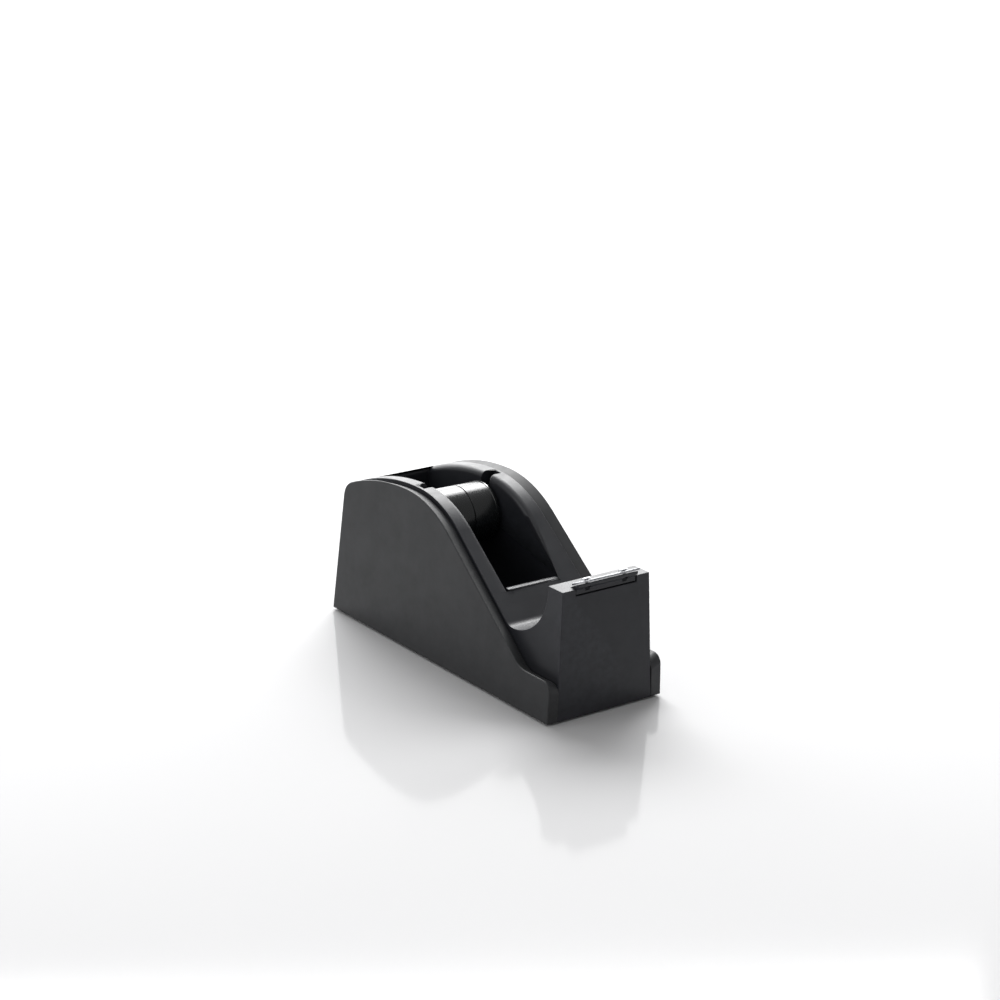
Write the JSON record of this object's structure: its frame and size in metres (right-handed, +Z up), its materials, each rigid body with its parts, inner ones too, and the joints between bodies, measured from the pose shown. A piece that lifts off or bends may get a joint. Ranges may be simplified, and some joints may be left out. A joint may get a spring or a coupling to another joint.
{
  "type": "tape dispenser",
  "caption": "Weighted desk tape dispenser with curved cheeks, an open roll well, a lift-out turning hub and a toothed steel cutting edge on a front tower.",
  "frame": {"origin": "on the surface the feet rest on, in the middle of the overall box", "axes": "+Z up, -Y towards the cutting edge, +Y towards the back, +X to the right of a person facing the tower"},
  "size_m": [0.056, 0.1522, 0.0674],
  "materials": {
    "shell_plastic": "fine-grained satin charcoal",
    "frame_plastic": "satin black",
    "hub_plastic": "polished black",
    "foot_rubber": "matt",
    "blade_steel": "ground edge",
    "screw_steel": "zinc plated",
    "ballast_iron": "as cast"
  },
  "bodies": {
    "housing": {"centre_frame": "frame_plastic", "left_side_shell": "shell_plastic", "right_side_shell": "shell_plastic", "base_plate": "frame_plastic", "front_left_foot": "foot_rubber", "front_right_foot": "foot_rubber", "rear_left_foot": "foot_rubber", "rear_right_foot": "foot_rubber", "front_left_base_screw": "screw_steel", "front_right_base_screw": "screw_steel", "rear_left_base_screw": "screw_steel", "rear_right_base_screw": "screw_steel", "front_ballast_screw": "screw_steel", "middle_ballast_screw": "screw_steel", "rear_ballast_screw": "screw_steel", "front_ballast": "ballast_iron", "main_ballast": "ballast_iron", "left_side_ballast": "ballast_iron", "right_side_ballast": "ballast_iron", "blade_carrier": "frame_plastic", "cutter_blade": "blade_steel", "left_blade_screw": "screw_steel", "right_blade_screw": "screw_steel"},
    "axle_set": {"axle": "frame_plastic", "left_spacer": "screw_steel", "right_spacer": "screw_steel"},
    "hub": {"left_hub_half": "hub_plastic", "right_hub_half": "hub_plastic"}
  },
  "joints": [
    {"name": "axle_lift", "type": "slide", "parent": "housing", "child": "axle_set", "axis": [0, 0, 1], "range_m": [0, 0.034]},
    {"name": "hub_spin", "type": "hinge", "parent": "axle_set", "child": "hub", "pos_m": [0, 0.02512, 0.0515], "axis": [1, 0, 0], "continuous": true}
  ]
}
